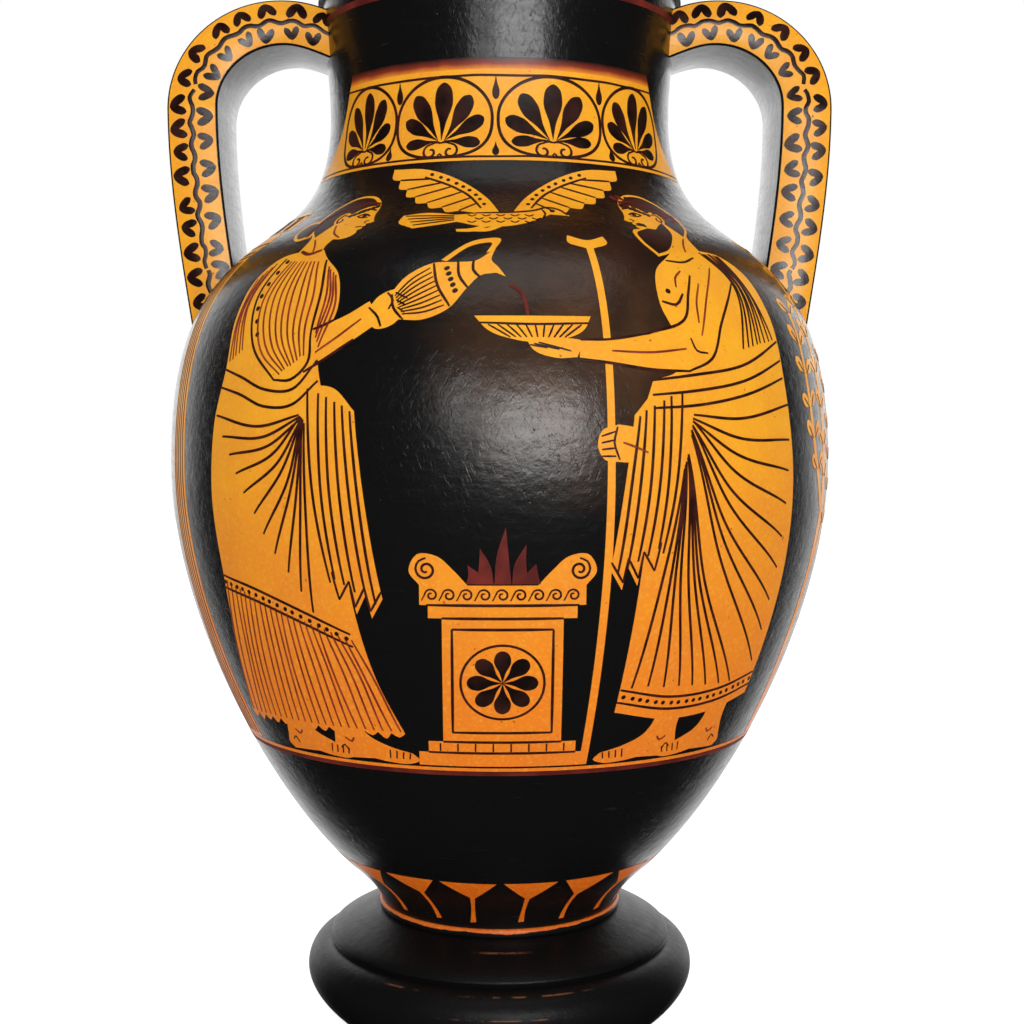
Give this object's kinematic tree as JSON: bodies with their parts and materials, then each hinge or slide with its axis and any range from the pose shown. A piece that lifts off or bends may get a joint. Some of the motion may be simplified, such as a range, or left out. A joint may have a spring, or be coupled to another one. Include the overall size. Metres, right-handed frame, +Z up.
{
  "type": "red-figure amphora",
  "caption": "Two-handled footed ceramic amphora with flanged strap handles, a flaring mouth and painted black-gloss and reserved-clay decoration, for storage or display.",
  "frame": {"origin": "on the floor under the middle of the foot", "axes": "+Z up along the vessel's turning axis, +X towards the handle on the viewer's right, -Y towards the painted front"},
  "size_m": [0.213, 0.213, 0.362],
  "materials": {
    "black_gloss": "satin black slip, lightly brushed",
    "reserved_clay": "burnished orange clay, matt to satin"
  },
  "bodies": {
    "root": {"foot": "black_gloss", "foot_fillet": "reserved_clay", "lower_body": "black_gloss", "shoulder": "black_gloss", "neck": "black_gloss", "mouth": "black_gloss", "left_handle": "reserved_clay", "right_handle": "reserved_clay"}
  },
  "joints": []
}
